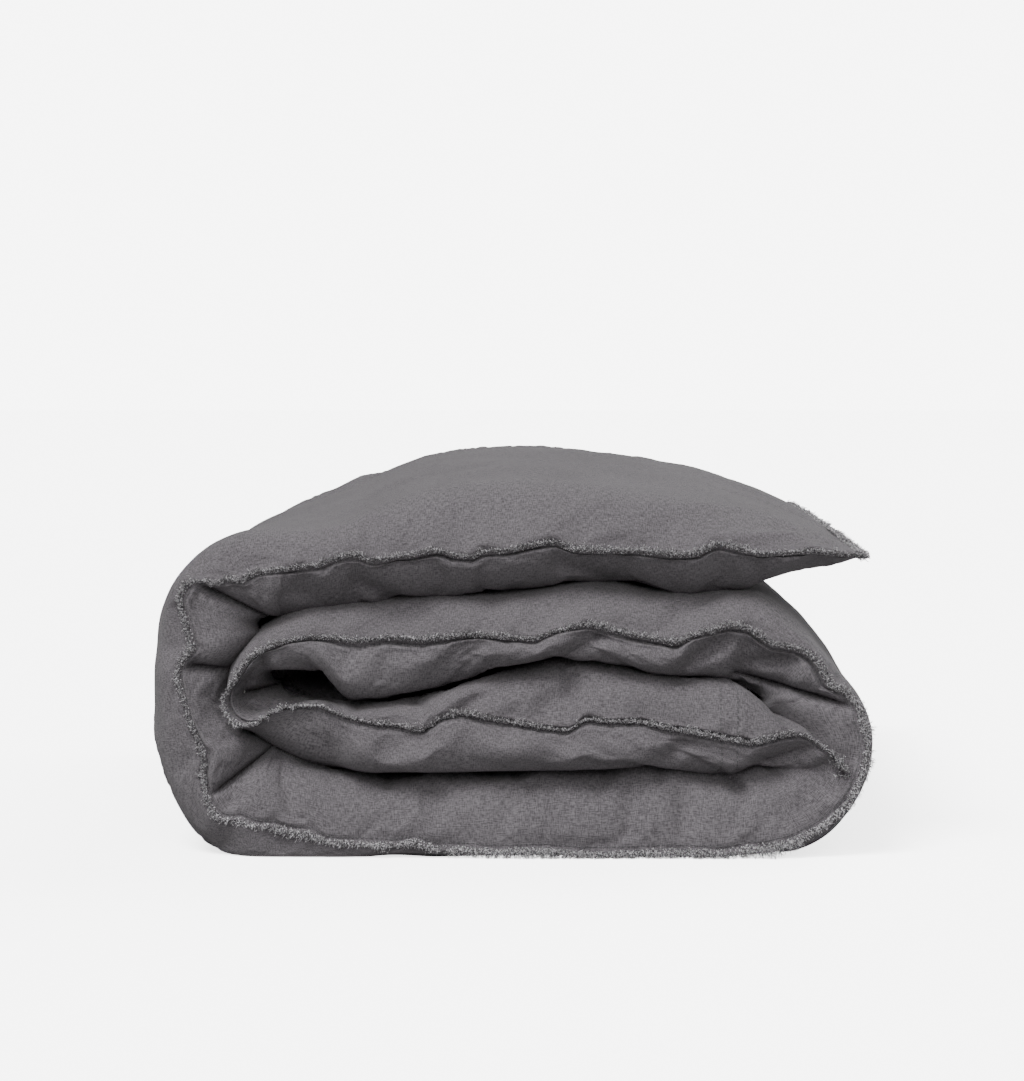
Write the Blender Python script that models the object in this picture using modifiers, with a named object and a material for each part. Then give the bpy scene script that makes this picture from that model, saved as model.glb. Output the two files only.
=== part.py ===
"""A single duvet in a linen cover with frayed edges, folded once across its width and rolled up.

The duvet is folded in half at the back, so each layer of the roll holds two thicknesses of it: an outer one,
whose sewn edge shows at the front, and an inner one, whose edge lies a little further in.
Seen from the front the roll is a spiral of straight runs and round bends. It starts at the free end of the
flap on top, goes down the left side, along the floor, up the right side, and ends in the middle.
X runs left to right, Y from front to back, and Z up from the surface that the roll lies on.
"""

import math

import bmesh
import bpy
from mathutils import Vector

# Driving dimensions, in metres.
WIDTH = 0.474  # left face to right face
DEPTH = 0.660  # tips of the frayed edge to the back fold
LAYER = 0.056  # one layer of the roll: two thicknesses of the duvet
LAYER_GAP = 0.001  # air between two layers
CROWN = 0.042  # how far the flap, which nothing presses on, swells above its layer
LEFT_BEND = 0.055  # radius of the middle of a layer
RIGHT_BEND = 0.050
SLUMP = 0.90  # how far the lowest sewn edge sinks towards the floor, as a share of the way
SLUMP_DEPTH = 0.045  # how far behind the sewn edge that is felt
CLOTH = 0.0011  # cover fabric, drawn thicker than linen so that it has a solid
CLEAR = 0.0004  # between two pieces that touch
FRINGE = 0.008  # how far a frayed edge stands out
SEAM_SET_BACK = 0.078  # the inner thickness's sewn edge behind the outer one's
END_TAPER = 0.045  # length over which the ends of the cover thin out
END_SHARE = 0.45  # share of the thickness left at the ends
PINCH = 0.012  # length over which a chamber thins towards a sewn channel
PINCH_SHARE = 0.60  # share of the thickness left at a channel
BEND_STEP = math.radians(22.5)  # between two sections of a bend
BUTTON_RADIUS = 0.0075
BUTTON_THICK = 0.003
BUTTON_PITCH = 0.16
TIE_SIZE = (0.010, 0.060, 0.0010)  # along the layer, along Y, thickness
LABEL_SIZE = (0.025, 0.035, 0.0006)
FACING_SIZE = (0.066, 0.280, 0.0006)  # the hem along one side of the opening
FACING_HEIGHT = 0.0017  # its middle above the middle of the layer

# What follows from them.
HALF = LAYER / 2
PITCH = LAYER + LAYER_GAP
FRONT = -DEPTH / 2 + FRINGE  # the outer sewn edge
SPAN = DEPTH - FRINGE  # sewn edge to back fold
FLOOR_Z, LOWER_Z, UPPER_Z, FLAP_Z = (HALF + PITCH * level for level in range(4))
LEFT_X = -WIDTH / 2 + HALF
RIGHT_X = WIDTH / 2 - HALF
END_EDGE = 0.009  # frayed edge at the two ends, with the seam it grows from
FLAP_END_X = WIDTH / 2 - END_EDGE - 0.0005
INNER_BEND = PITCH / 2
INNER_BEND_X = LEFT_X + PITCH + INNER_BEND
ROLL_END_X = RIGHT_X - HALF - END_EDGE - LAYER_GAP

MATERIALS = {
    "linen": ((0.150, 0.148, 0.153), 0.92),
    "frayed_linen": ((0.215, 0.212, 0.215), 0.95),
    "lining_linen": ((0.140, 0.138, 0.143), 0.92),
    "down_proof_cotton": ((0.80, 0.79, 0.76), 0.85),
    "cotton_tape": ((0.30, 0.295, 0.30), 0.85),
    "shell_button": ((0.62, 0.56, 0.47), 0.35),
    "label_tape": ((0.82, 0.81, 0.78), 0.70),
}


class Spiral:
    """The middle of the layers, seen from the front, as straight runs and bends that all turn the same way."""

    def __init__(self, start, heading, moves):
        self.pieces = []  # (length at its start, length, start point, heading, radius or None)
        self.marks = {}
        at, angle, length = Vector(start), heading, 0.0
        for name, size, turn in moves:
            piece_length = size * turn if turn else size
            self.pieces.append((length, piece_length, at.copy(), angle, size if turn else None))
            self.marks[name] = (length, length + piece_length)
            at, angle = self.along(self.pieces[-1], piece_length)
            length += piece_length
        self.length = length

    @staticmethod
    def along(piece, distance):
        _, _, start, angle, radius = piece
        if radius is None:
            return start + distance * Vector((math.cos(angle), math.sin(angle))), angle
        centre = start + radius * Vector((-math.sin(angle), math.cos(angle)))
        angle = angle + distance / radius
        return centre + radius * Vector((math.sin(angle), -math.cos(angle))), angle

    def at(self, s):
        """The point at length s, and the direction that faces away from the middle of the roll."""
        piece = next(p for p in reversed(self.pieces) if s >= p[0] - 1e-9)
        point, angle = self.along(piece, s - piece[0])
        return point, Vector((math.sin(angle), -math.cos(angle)))

    def stations(self, start, end, extra=()):
        """Lengths from start to end at which sections are needed: the ends, the steps of each bend and any extra."""
        found = {start, end}
        for first, length, _, _, radius in self.pieces:
            steps = max(1, round(length / radius / BEND_STEP)) if radius else 1
            found |= {first + length * k / steps for k in range(steps + 1)}
        found |= set(extra)
        kept = []
        for s in sorted(s for s in found if start - 1e-9 <= s <= end + 1e-9):
            if not kept or s - kept[-1] > 1e-4:
                kept.append(s)
        return kept


QUARTER = math.pi / 2
SPIRAL = Spiral(
    (FLAP_END_X, FLAP_Z),
    math.pi,
    [
        ("flap", FLAP_END_X - LEFT_X - LEFT_BEND, 0),
        ("upper_left", LEFT_BEND, QUARTER),
        ("left", FLAP_Z - FLOOR_Z - 2 * LEFT_BEND, 0),
        ("lower_left", LEFT_BEND, QUARTER),
        ("floor", RIGHT_X - RIGHT_BEND - LEFT_X - LEFT_BEND, 0),
        ("lower_right", RIGHT_BEND, QUARTER),
        ("right", UPPER_Z - FLOOR_Z - 2 * RIGHT_BEND, 0),
        ("upper_right", RIGHT_BEND, QUARTER),
        ("upper", RIGHT_X - RIGHT_BEND - INNER_BEND_X, 0),
        ("inner", INNER_BEND, math.pi),
        ("lower", ROLL_END_X - INNER_BEND_X, 0),
    ],
)
FLAP = SPIRAL.marks["flap"]
SIDE = (SPIRAL.marks["upper_left"][0], SPIRAL.marks["lower_left"][1])
FLOOR = SPIRAL.marks["floor"]
ROLL = (SPIRAL.marks["lower_right"][0], SPIRAL.length)
BASE = (FLOOR[0], ROLL[1])

# Lengths at which the flap's swelling, the sewn edge's slump and the thinning ends need a section.
SHAPED = [FLAP[1] * k / 9 for k in range(1, 9)]
SHAPED += [FLOOR[0] + (FLOOR[1] - FLOOR[0]) * k / 6 for k in range(1, 6)]
for share in (1 / 3, 2 / 3, 1):
    SHAPED += [END_TAPER * share, SPIRAL.length - END_TAPER * share]

# Sections of the pieces across a layer: (distance behind the outer sewn edge, height above the layer's middle as
# a share of HALF).
COVER_SECTION = [
    (0.000, 0.05),
    (0.010, 0.50),
    (0.030, 0.85),
    (0.070, 1.00),
    (0.160, 1.00),
    (SPAN / 2, 1.00),
    (SPAN - 0.160, 1.00),
    (SPAN - 0.060, 1.00),
    (SPAN - 0.022, 0.80),
    (SPAN - 0.004, 0.35),
    (SPAN, 0.00),
    (SPAN - 0.004, -0.35),
    (SPAN - 0.022, -0.80),
    (SPAN - 0.060, -1.00),
    (SEAM_SET_BACK + 0.060, -1.00),
    (SEAM_SET_BACK + 0.022, -0.88),
    (SEAM_SET_BACK, -0.58),
]
LINING_SECTION = [
    (0.000, -0.05),
    (0.010, -0.50),
    (0.026, -0.82),
    (0.045, -0.88),
    (0.056, -0.50),
    (0.066, -0.05),
    (0.074, 0.03),
    (SPAN - 0.018, 0.03),
    (SPAN - 0.0155, 0.00),
    (SPAN - 0.018, -0.03),
    (0.100, -0.03),
    (0.088, -0.20),
    (SEAM_SET_BACK + 0.002, -0.50),
]
OUTER_CHAMBER_SECTION = [
    (0.014, 0.00),
    (0.019, 0.40),
    (0.036, 0.72),
    (0.070, 0.88),
    (0.160, 0.90),
    (SPAN / 2, 0.90),
    (SPAN - 0.160, 0.90),
    (SPAN - 0.062, 0.88),
    (SPAN - 0.028, 0.70),
    (SPAN - 0.022, 0.09),
    (0.070, 0.09),
    (0.060, -0.02),
    (0.050, -0.45),
    (0.041, -0.74),
    (0.030, -0.70),
    (0.018, -0.40),
]
INNER_CHAMBER_SECTION = [
    (0.108, -0.09),
    (SPAN - 0.022, -0.09),
    (SPAN - 0.028, -0.70),
    (SPAN - 0.062, -0.90),
    (0.142, -0.90),
    (0.112, -0.80),
    (0.098, -0.48),
]


def taper(s):
    """The share of the full thickness that the cover has at length s."""
    near = min(s, SPIRAL.length - s, END_TAPER) / END_TAPER
    return END_SHARE + (1 - END_SHARE) * math.sin(near * QUARTER)


def swell(s, y):
    """How far the flap stands above a flat layer."""
    across = math.sin(math.pi * min(max(y / SPAN, 0), 1))
    along = math.sin(math.pi * min(max(s / FLAP[1], 0), 1))
    return CROWN * along * math.sqrt(across)


def slump(s, y):
    """The share of the way to the outer face that a point near the sewn edge has sunk, along the floor."""
    rise = min(max((s - FLOOR[0] + LEFT_BEND / 2) / 0.150, 0), 1)
    fall = min(max((FLOOR[1] + RIGHT_BEND / 2 - s) / 0.050, 0), 1)
    near = 1 - min(max(y / SLUMP_DEPTH, 0), 1)
    return SLUMP * math.sin(rise * QUARTER) * math.sin(fall * QUARTER) * near**2


def ring_at(s, section, pinch=1.0, middle=0.0):
    """A section of a piece at length s, as points in space. pinch thins it towards a height of middle."""
    point, out = SPIRAL.at(s)
    ring = []
    for y, height in section:
        height = middle + (height - middle) * pinch
        height += slump(s, y) * (1 - height if y >= 0 else 1)
        height *= HALF * taper(s)
        if height > 0:
            height += swell(s, y) * height / HALF
        place = point + out * height
        ring.append(Vector((place.x, FRONT + y, place.y)))
    return ring


def thickened(line, thickness):
    """The closed outline of a sheet whose one face is the open line, and whose other face lies to its right."""
    points = [Vector((y, share * HALF)) for y, share in line]
    other = []
    for i, p in enumerate(points):
        before = (p - points[i - 1]).normalized() if i else None
        after = (points[i + 1] - p).normalized() if i + 1 < len(points) else None
        ways = [way for way in (before, after) if way]
        normal = sum((Vector((way.y, -way.x)) for way in ways), Vector((0, 0))).normalized()
        sharpness = normal.dot(Vector((ways[0].y, -ways[0].x)))
        other.append(p + normal * thickness / max(sharpness, 0.5))
    return [(p.x, p.y / HALF) for p in points + other[::-1]]


def loft(name, rings, material, collection):
    """A closed solid through rings of as many points each, with a flat face at either end."""
    mesh = bpy.data.meshes.new(name)
    shape = bmesh.new()
    rows = [[shape.verts.new(point) for point in ring] for ring in rings]
    count = len(rows[0])
    for row, following in zip(rows, rows[1:]):
        for i in range(count):
            j = (i + 1) % count
            shape.faces.new((row[i], row[j], following[j], following[i]))
    shape.faces.new(rows[0])
    shape.faces.new(rows[-1][::-1])
    bmesh.ops.recalc_face_normals(shape, faces=shape.faces)
    shape.to_mesh(mesh)
    shape.free()
    mesh.shade_smooth()
    mesh.set_sharp_from_angle(angle=math.radians(40))
    mesh.materials.append(material)
    obj = bpy.data.objects.new(name, mesh)
    collection.objects.link(obj)
    return obj


def sweep(name, section, span, material, collection):
    """A piece of the cover along the spiral, over the stretch span."""
    start, end = span[0] + CLEAR / 2, span[1] - CLEAR / 2
    rings = [ring_at(s, section) for s in SPIRAL.stations(start, end, SHAPED)]
    return loft(name, rings, material, collection)


def chamber(name, section, middle, span, material, collection):
    """One sewn chamber of the duvet inside, thinner at the channels on both sides of it."""
    start, end = span[0] + CLEAR, span[1] - CLEAR
    rings = []
    for s in SPIRAL.stations(start, end, (start + PINCH, end - PINCH, *SHAPED)):
        near = min(s - start, end - s, PINCH) / PINCH
        rings.append(ring_at(s, section, PINCH_SHARE + (1 - PINCH_SHARE) * near, middle))
    return loft(name, rings, material, collection)


def rows_of_chambers():
    """The stretches of the spiral between the duvet's sewn channels, with their names."""
    rows = []
    for mark, count in (("flap", 3), ("upper_left", 1), ("left", 1), ("lower_left", 1), ("floor", 2)):
        rows.append((mark, *SPIRAL.marks[mark], count))
    middle = sum(SPIRAL.marks["right"]) / 2
    rows.append(("lower_right", SPIRAL.marks["lower_right"][0], middle, 1))
    rows.append(("upper_right", middle, SPIRAL.marks["upper_right"][1], 1))
    for mark, count in (("upper", 2), ("inner", 1), ("lower", 2)):
        rows.append((mark, *SPIRAL.marks[mark], count))
    found = []
    for mark, start, end, count in rows:
        start, end = max(start, END_TAPER), min(end, SPIRAL.length - END_TAPER)
        for k in range(count):
            number = f"_{k + 1}" if count > 1 else ""
            span = (start + (end - start) * k / count, start + (end - start) * (k + 1) / count)
            found.append((mark + number, span))
    return found


def block(name, s, y, height, size, material, collection):
    """A small flat piece centred at length s, at y behind the sewn edge and at height above the layer's middle."""
    point, out = SPIRAL.at(s)
    place = point + out * height
    bpy.ops.mesh.primitive_cube_add(size=1, location=(place.x, FRONT + y, place.y))
    obj = bpy.context.object
    obj.name = obj.data.name = name
    obj.scale = size
    bpy.ops.object.transform_apply(location=False, rotation=False, scale=True)
    obj.data.materials.append(material)
    move_to(obj, collection)
    return obj


def button(name, s, y, height, material, collection):
    """A flat button with a raised rim, on its back, with its axis across the layer."""
    rim, well = BUTTON_RADIUS * 0.72, BUTTON_THICK * 0.35
    profile = [
        (0, BUTTON_THICK / 2 - well),
        (rim, BUTTON_THICK / 2 - well),
        (BUTTON_RADIUS * 0.86, BUTTON_THICK / 2),
        (BUTTON_RADIUS, BUTTON_THICK / 4),
        (BUTTON_RADIUS, -BUTTON_THICK / 4),
        (BUTTON_RADIUS * 0.86, -BUTTON_THICK / 2),
        (0, -BUTTON_THICK / 2),
    ]
    mesh = bpy.data.meshes.new(name)
    mesh.from_pydata([(x, 0, z) for x, z in profile], [(i, i + 1) for i in range(len(profile) - 1)], [])
    mesh.materials.append(material)
    obj = bpy.data.objects.new(name, mesh)
    collection.objects.link(obj)
    screw = obj.modifiers.new("turned", "SCREW")
    screw.steps = screw.render_steps = 20
    screw.use_merge_vertices = True
    screw.merge_threshold = 0.00001
    screw.use_smooth_shade = True
    point, out = SPIRAL.at(s)
    place = point + out * height
    obj.location = (place.x, FRONT + y, place.y)
    return obj


def move_to(obj, collection):
    for holder in list(obj.users_collection):
        holder.objects.unlink(obj)
    collection.objects.link(obj)


def clear_scene():
    for obj in list(bpy.data.objects):
        bpy.data.objects.remove(obj, do_unlink=True)


def make_materials():
    made = {}
    for name, (colour, roughness) in MATERIALS.items():
        material = bpy.data.materials.new(name)
        material.use_nodes = True
        shader = material.node_tree.nodes["Principled BSDF"]
        shader.inputs["Base Color"].default_value = (*colour, 1)
        shader.inputs["Roughness"].default_value = roughness
        shader.inputs["Metallic"].default_value = 0
        made[name] = material
    return made


def make_cover(materials, collection):
    """The two linen panels. Each is one sheet in the real cover, in lengths here so that the flap can open."""
    cover = thickened(COVER_SECTION, CLOTH)
    lining = thickened(LINING_SECTION, -CLOTH / 2)
    for name, span in (("flap", FLAP), ("side", SIDE), ("floor", FLOOR), ("roll", ROLL)):
        sweep(f"cover_top_panel_{name}", cover, span, materials["linen"], collection)
    for name, span in (("flap", FLAP), ("side", SIDE), ("base", BASE)):
        sweep(f"cover_bottom_panel_{name}", lining, span, materials["lining_linen"], collection)


def make_frayed_edges(materials, collection):
    thick = 0.0012 / HALF
    tip, root = -FRINGE, -CLEAR
    outer = [(tip, thick / 2), (root, thick), (root, -thick), (tip, -thick / 2)]
    inner = [(SEAM_SET_BACK + y, share - 0.54) for y, share in outer]
    for name, span in (("flap", FLAP), ("side", SIDE), ("base", BASE)):
        sweep(f"frayed_edge_front_{name}", outer, span, materials["frayed_linen"], collection)
        sweep(f"frayed_edge_inner_{name}", inner, span, materials["frayed_linen"], collection)
    for name, s, away in (("head", 0.0, -1), ("foot", SPIRAL.length, 1)):
        point, out = SPIRAL.at(s)
        along = Vector((-out.y, out.x)) * away
        rings = []
        for distance, share in ((CLEAR / 2, 0.40), (0.003, 0.10), (END_EDGE, 0.03)):
            half = share * HALF
            corners = [(0.0, half), (SPAN - 0.001, half), (SPAN - 0.001, -half), (0.0, -half)]
            ring = []
            for y, height in corners:
                place = point + along * distance + out * height
                ring.append(Vector((place.x, FRONT + y, place.y)))
            rings.append(ring)
        loft(f"frayed_edge_{name}", rings, materials["frayed_linen"], collection)


def make_insert(materials, collection):
    cotton = materials["down_proof_cotton"]
    for name, span in rows_of_chambers():
        chamber(f"duvet_outer_chamber_{name}", OUTER_CHAMBER_SECTION, 0.5, span, cotton, collection)
        chamber(f"duvet_inner_chamber_{name}", INNER_CHAMBER_SECTION, -0.5, span, cotton, collection)


def make_closure(materials, collection):
    """The opening is in the middle of the foot end, so the back fold halves it: two buttons on either side."""
    hem_s = SPIRAL.length - 0.003 - FACING_SIZE[0] / 2
    hem_y = SPAN - 0.030 - FACING_SIZE[1] / 2
    for side, sign in (("outer", 1), ("inner", -1)):
        height = sign * FACING_HEIGHT
        block(f"closure_facing_{side}", hem_s, hem_y, height, FACING_SIZE, materials["linen"], collection)
        for k in range(2):
            s, y = SPIRAL.length - END_TAPER / 2, SPAN - BUTTON_PITCH / 2 - BUTTON_PITCH * k
            height = sign * (FACING_HEIGHT + FACING_SIZE[2] / 2 + CLEAR + BUTTON_THICK / 2)
            button(f"button_{side}_{k + 1}", s, y, height, materials["shell_button"], collection)


def make_ties_and_label(materials, collection):
    tape = materials["cotton_tape"]
    ends = {"head": END_TAPER / 2, "foot": SPIRAL.length - END_TAPER / 2}
    for end, s in ends.items():
        block(f"corner_tie_{end}_outer", s, 0.100, 0.0045, TIE_SIZE, tape, collection)
        block(f"corner_tie_{end}_inner", s, 0.150, -0.0045, TIE_SIZE, tape, collection)
    block("care_label", ends["foot"], 0.170, 0.0045, LABEL_SIZE, materials["label_tape"], collection)


def main():
    clear_scene()
    collection = bpy.data.collections.new("folded_duvet")
    bpy.context.scene.collection.children.link(collection)
    materials = make_materials()
    make_cover(materials, collection)
    make_frayed_edges(materials, collection)
    make_insert(materials, collection)
    make_closure(materials, collection)
    make_ties_and_label(materials, collection)


main()
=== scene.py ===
"""The looks of a duvet in a frayed linen cover, folded double and rolled up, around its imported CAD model.

The cover is one grid of cloth. It follows the roll as a spiral seen from the front, and each layer of the roll is
described by three heights above the middle of the layer: the sewn edge, the outer face and the inner face.
Lengths are in metres, and s is a length along the roll, from the flap's end to the end of the core. X is left to
right, Y is front to back, and Z is up.
"""

import math

import bpy
import numpy as np
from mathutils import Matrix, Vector


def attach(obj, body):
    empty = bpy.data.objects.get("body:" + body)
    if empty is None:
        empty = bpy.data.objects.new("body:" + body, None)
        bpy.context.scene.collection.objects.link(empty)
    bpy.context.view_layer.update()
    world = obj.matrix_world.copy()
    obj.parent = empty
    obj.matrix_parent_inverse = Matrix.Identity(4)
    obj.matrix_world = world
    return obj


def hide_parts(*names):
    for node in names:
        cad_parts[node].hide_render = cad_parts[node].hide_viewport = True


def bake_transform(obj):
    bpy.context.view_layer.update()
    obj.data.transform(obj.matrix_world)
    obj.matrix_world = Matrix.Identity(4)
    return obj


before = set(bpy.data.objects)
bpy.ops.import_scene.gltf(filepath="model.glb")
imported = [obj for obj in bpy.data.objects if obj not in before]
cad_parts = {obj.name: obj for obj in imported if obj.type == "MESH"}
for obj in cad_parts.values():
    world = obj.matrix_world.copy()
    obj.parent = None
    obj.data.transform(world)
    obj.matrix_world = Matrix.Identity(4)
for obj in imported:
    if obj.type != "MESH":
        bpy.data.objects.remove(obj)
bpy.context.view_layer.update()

# The roll, as in the CAD model.
WIDTH = 0.474
DEPTH = 0.660
LAYER = 0.056
PITCH = LAYER + 0.001
HALF = LAYER / 2
LEFT_BEND = 0.055
RIGHT_BEND = 0.050
FRINGE = 0.008
FRONT = -DEPTH / 2 + FRINGE
SPAN = DEPTH - FRINGE
RECESS = 0.078  # the inner thickness's sewn edge behind the outer one's
QUARTER = math.pi / 2
FLOOR_Z, UPPER_Z, FLAP_Z = (HALF + PITCH * level for level in (0, 2, 3))
LEFT_X = -WIDTH / 2 + HALF
RIGHT_X = WIDTH / 2 - HALF
FLAP_END_X = WIDTH / 2 - 0.0095
INNER_BEND = PITCH / 2
INNER_BEND_X = LEFT_X + PITCH + INNER_BEND
ROLL_END_X = RIGHT_X - HALF - 0.010

# The cloth.
CELL = 0.005  # spacing of the grid before subdivision
OUTER_ROUND = 0.060  # how deep the outer panel's rounded front goes
INNER_ROUND = 0.045
BACK_ROUND = 0.050
LINING_STRIP = 0.062  # the cloth on the rounded front of the lining, of the outer panel, and round the back fold
OUTER_STRIP = 0.078
BACK_STRIP = 0.120
SLACK = 0.018  # how much further along the outer panel's cloth a place is than behind the sewn edge
HIDDEN_END = -1.29  # where the lining's cloth ends
ON_FLOOR = 0.0004  # no cloth is nearer to the floor, before the folds are pressed in
MOST_MOVE = 0.010  # the furthest that the cloth simulation may move a point
BUCKLES = 0.62  # the share of its small buckles that is kept
SWELLING_OUT = 0.85  # the share of its even swelling that is taken out again
LAST_FRAME = 18  # where it stops
CLOTH = {
    "quality": 6, "mass": 0.15, "tension_stiffness": 12, "compression_stiffness": 12, "shear_stiffness": 4,
    "bending_stiffness": 0.15, "use_pressure": True, "uniform_pressure_force": 1.6, "vertex_group_mass": "held",
    "pin_stiffness": 20, "shrink_min": -0.035, "air_damping": 4,
}
FLANGE = 0.0030  # width of the flat edge outside the stitches
SHARP_FROM = 0.0105  # folds deeper than this end in a crease
CREASE = 0.0014  # how narrow a crease is
UNDERCUT = 0.0070  # how far the lining tucks in right under the frayed edge
GROOVE = 0.0036  # how deep the cloth sinks beside that edge
GAP = 0.0005  # how far each face stays from its neighbour near the front

# The roll from the flap's end to the core's, as rows of (name, length, radius of a bend).
RUNS = [
    ("flap", FLAP_END_X - LEFT_X - LEFT_BEND, None),
    ("upper_left", LEFT_BEND * QUARTER, LEFT_BEND),
    ("left", FLAP_Z - FLOOR_Z - 2 * LEFT_BEND, None),
    ("lower_left", LEFT_BEND * QUARTER, LEFT_BEND),
    ("floor", RIGHT_X - RIGHT_BEND - LEFT_X - LEFT_BEND, None),
    ("lower_right", RIGHT_BEND * QUARTER, RIGHT_BEND),
    ("right", UPPER_Z - FLOOR_Z - 2 * RIGHT_BEND, None),
    ("upper_right", RIGHT_BEND * QUARTER, RIGHT_BEND),
    ("upper", RIGHT_X - RIGHT_BEND - INNER_BEND_X, None),
    ("inner", INNER_BEND * math.pi, INNER_BEND),
    ("lower", ROLL_END_X - INNER_BEND_X, None),
]

# The sewn edge at the front: (millimetres along the run, millimetres above the middle of the layer).
SEAM = {
    "flap": [(0, -2), (16, -1), (35, 1), (52, 0), (68, -1), (85, 3), (97, 6), (110, -1), (127, -1), (151, 2),
             (176, 2), (191, 3), (203, 8), (216, 6), (234, 2), (251, 1), (256, -2), (270, -1), (276, 2), (282, 2),
             (296, -1), (312, -3), (323, -5), (331, -1), (343, -2), (356, -7), (371, -9)],
    "upper_left": [(6, -11), (22, -10), (34, -11), (39, -4), (46, -2), (50, 5), (54, 13), (60, 15), (67, 15),
                   (72, 9), (82, 4)],
    "left": [(7, 1), (16, 9), (24, 12), (36, 9), (53, 4)],
    "lower_left": [(4, -1), (18, -4), (28, 2), (40, 9), (52, 14), (62, 7), (69, 8), (81, 6)],
    "floor": [(7, 9), (19, 10), (31, 16), (57, 17), (74, 18), (88, 15), (100, 20), (116, 20), (128, 21), (140, 22),
              (172, 21), (192, 23), (210, 24), (230, 23), (258, 22), (287, 23), (308, 20)],
    "lower_right": [(7, 19), (20, 18), (44, 19), (68, 19)],
    "right": [(2, 18), (14, 14)],
    "upper_right": [(8, 13), (16, 6), (21, -1), (29, -1), (43, 2), (54, 1), (70, -2), (78, 2)],
    "upper": [(7, 8), (19, 10), (43, 4), (55, -2), (87, 5), (112, 11), (133, 7), (147, 1), (188, 4), (222, 0),
              (244, 2), (261, -1)],
    "inner": [(5, 2), (16, 6), (23, 11), (28, 15), (33, 22), (41, 28), (44, 32), (47, 36), (49, 40), (52, 39),
              (55, 37), (58, 33), (59, 28), (60, 18), (61, 5), (62, -3), (65, -7), (70, -10), (84, -13)],
    "lower": [(3, -10), (10, -7), (20, -4), (30, -2), (44, -1), (57, 2), (62, 3), (74, -6), (86, -9), (106, -5),
              (141, 1), (158, 3), (169, -5), (181, -3), (206, -3), (220, 1), (238, 4), (249, 8), (255, 10),
              (261, 11), (268, 8), (275, 5), (280, 5), (283, 10), (288, 16), (292, 22), (294, 30)],
}
# The faces at the front: (percent of the run, outer face, inner face), the faces in millimetres above the middle. The
# cloth rises and sags as it does where one layer rests on the next.
FACES = {
    "flap": [(0, -1, -2), (10, 13, -12), (20, 21, -25), (30, 25, -30), (40, 27, -25), (50, 28, -20),
             (60, 28, -24), (70, 26, -31), (80, 22, -33), (90, 17, -38)],
    "upper_left": [(0, 17, -42), (25, 21, -42), (50, 25, -38), (75, 29, -36)],
    "left": [(0, 28, -40), (17, 28, -31), (33, 29, -22), (50, 29, -21), (67, 29, -21), (83, 29, -24)],
    "lower_left": [(0, 31, -29), (25, 34, -36), (50, 38, -38), (75, 35, -39)],
    "floor": [(0, 28, -37), (11, 28, -26), (22, 28, -23), (33, 28, -25), (44, 28, -25), (56, 28, -28),
              (67, 28, -29), (78, 28, -33), (85, 28, -30), (90, 28, -25), (95, 28, -26)],
    "lower_right": [(0, 28, -31), (25, 27, -29), (50, 27, -28), (75, 27, -28)],
    "right": [(0, 26, -32), (50, 25, -40)],
    "upper_right": [(0, 21, -46), (25, 12, -49), (50, 10, -48), (75, 16, -42)],
    "upper": [(0, 29, -38), (5, 29, -30), (12, 29, -26), (25, 31, -24), (31, 36, -21), (38, 37, -18),
              (50, 33, -16), (62, 29, -21), (75, 27, -33), (88, 22, -41), (95.5, 22, -42), (98.5, 21, -33)],
    "inner": [(0, 20, -25), (12, 22, -21), (21, 25, -18), (33, 29, -13), (40, 35, 0), (45, 40, 15),
              (48, 43, 17), (54, 44, 8), (61, 41, -1), (69, 34, -9), (80, 29, -12), (90, 29, -14)],
    "lower": [(0, 30, -15), (5, 32, -14), (10, 34, -15), (20, 33, -18), (30, 33, -27), (40, 31, -34),
              (50, 29, -41), (60, 29, -39), (70, 28, -34), (78, 28, -32), (83, 31, -32),
              (86.5, 32, -33), (88.5, 31, -30), (90, 30, -23), (92.6, 31, -11), (95.7, 32, -1), (97.3, 32, 10),
              (100, 31, 27)],
}
# The same deep inside the roll, where it no longer follows the front.
DEEP = {
    "flap": [(0, 1, -1), (6, 10, -13), (14, 20, -24), (25, 27, -28)],
    "upper_left": [(0, 24, -28), (50, 21, -28)],
    "left": [(0, 26, -28)],
    "lower_left": [(0, 26, -28), (50, 26, -28)],
    "floor": [(0, 28, -28)],
    "lower_right": [(0, 28, -28), (50, 26, -28)],
    "right": [(0, 25, -28)],
    "upper_right": [(0, 20, -28), (25, 12, -28), (50, 11, -28), (75, 16, -28)],
    "upper": [(0, 27, -28), (50, 28, -28)],
    "inner": [(0, 27, -28), (50, 27, -20)],
    "lower": [(0, 28, -28), (75, 28, -28), (87, 22, -22), (95, 13, -13), (100, 1, -1)],
}


SIZES = {name: size for name, size, _ in RUNS}
STARTS = dict(zip(SIZES, np.cumsum([0, *SIZES.values()]).tolist()))
LENGTH = sum(SIZES.values())
FINE_S = np.linspace(0, LENGTH, 3601)


def smoothstep(t):
    t = np.clip(t, 0, 1)
    return t * t * (3 - 2 * t)


def window(s, start, rise, end=None, fall=None):
    """1 from start on, after a smooth rise that wide, and 0 again from end on, after a fall."""
    inside = smoothstep((np.asarray(s) - start) / rise)
    return inside if end is None else inside * (1 - smoothstep((s - end) / fall))


def unit(vectors):
    return vectors / np.maximum(np.linalg.norm(vectors, axis=-1, keepdims=True), 1e-12)


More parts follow.
